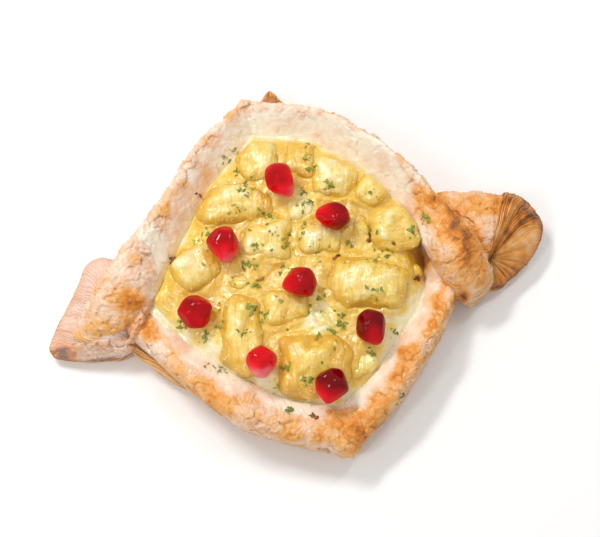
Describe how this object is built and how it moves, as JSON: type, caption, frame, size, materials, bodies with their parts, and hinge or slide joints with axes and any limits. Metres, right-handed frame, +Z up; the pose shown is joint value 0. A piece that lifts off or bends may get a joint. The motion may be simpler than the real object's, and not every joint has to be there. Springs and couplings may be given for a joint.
{
  "type": "danish pastry",
  "caption": "Twisted window-pane danish: a folded laminated diamond frame with knotted ears, filled with custard, pineapple chunks and pomegranate arils.",
  "frame": {"origin": "middle of the danish in plan, on the surface that it lies on", "axes": "+X from one ear to the other, towards the ear whose rim end passes over the frame's side; +Y towards the pointed corner of the upper rim; +Z up"},
  "size_m": [0.1412, 0.1028, 0.0267],
  "materials": {
    "pastry": "baked laminated dough, golden brown on the crests and creamy on the inner slopes, satin egg wash",
    "custard": "glossy baked custard",
    "pineapple": "wet glazed fruit, translucent yellow",
    "pomegranate": "wet translucent deep red skin"
  },
  "bodies": {
    "root": {"pastry": "pastry", "custard": "custard", "pineapple_01": "pineapple", "pineapple_02": "pineapple", "pineapple_03": "pineapple", "pineapple_04": "pineapple", "pineapple_05": "pineapple", "pineapple_06": "pineapple", "pineapple_07": "pineapple", "pineapple_08": "pineapple", "pineapple_09": "pineapple", "pineapple_10": "pineapple", "pineapple_11": "pineapple", "pineapple_12": "pineapple", "pineapple_13": "pineapple", "pineapple_14": "pineapple", "pineapple_15": "pineapple", "pineapple_16": "pineapple", "pineapple_17": "pineapple", "pineapple_18": "pineapple", "pineapple_19": "pineapple", "pomegranate_01": "pomegranate", "pomegranate_02": "pomegranate", "pomegranate_03": "pomegranate", "pomegranate_04": "pomegranate", "pomegranate_05": "pomegranate", "pomegranate_06": "pomegranate", "pomegranate_07": "pomegranate", "pomegranate_08": "pomegranate"}
  },
  "joints": []
}
